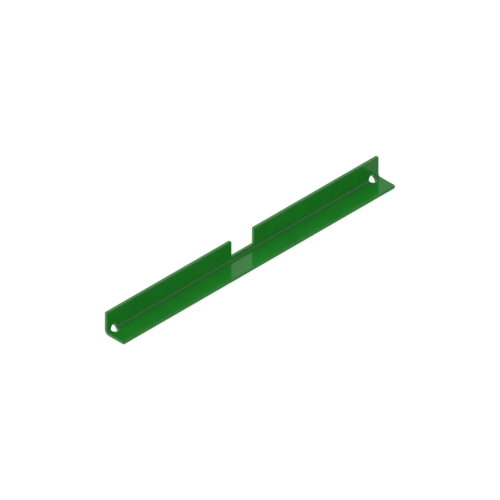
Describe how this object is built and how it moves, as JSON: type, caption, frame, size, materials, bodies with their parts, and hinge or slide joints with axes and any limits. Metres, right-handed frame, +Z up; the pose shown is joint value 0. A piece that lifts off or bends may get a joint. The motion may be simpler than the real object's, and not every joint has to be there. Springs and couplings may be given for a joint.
{
  "type": "slide rail",
  "caption": "Straight slide rail: a folded sheet-steel angle with a square notch in the upright flange and screw holes drilled through the fold near its ends.",
  "frame": {"origin": "under the middle of the rail's box, on the plane the flat flange rests on", "axes": "+X along the rail, +Y square out of the upright flange's outer face, +Z up along the upright flange"},
  "size_m": [0.36, 0.025, 0.025],
  "materials": {
    "green_paint": "smooth gloss"
  },
  "bodies": {
    "root": {"slide_rail": "green_paint"}
  },
  "joints": []
}
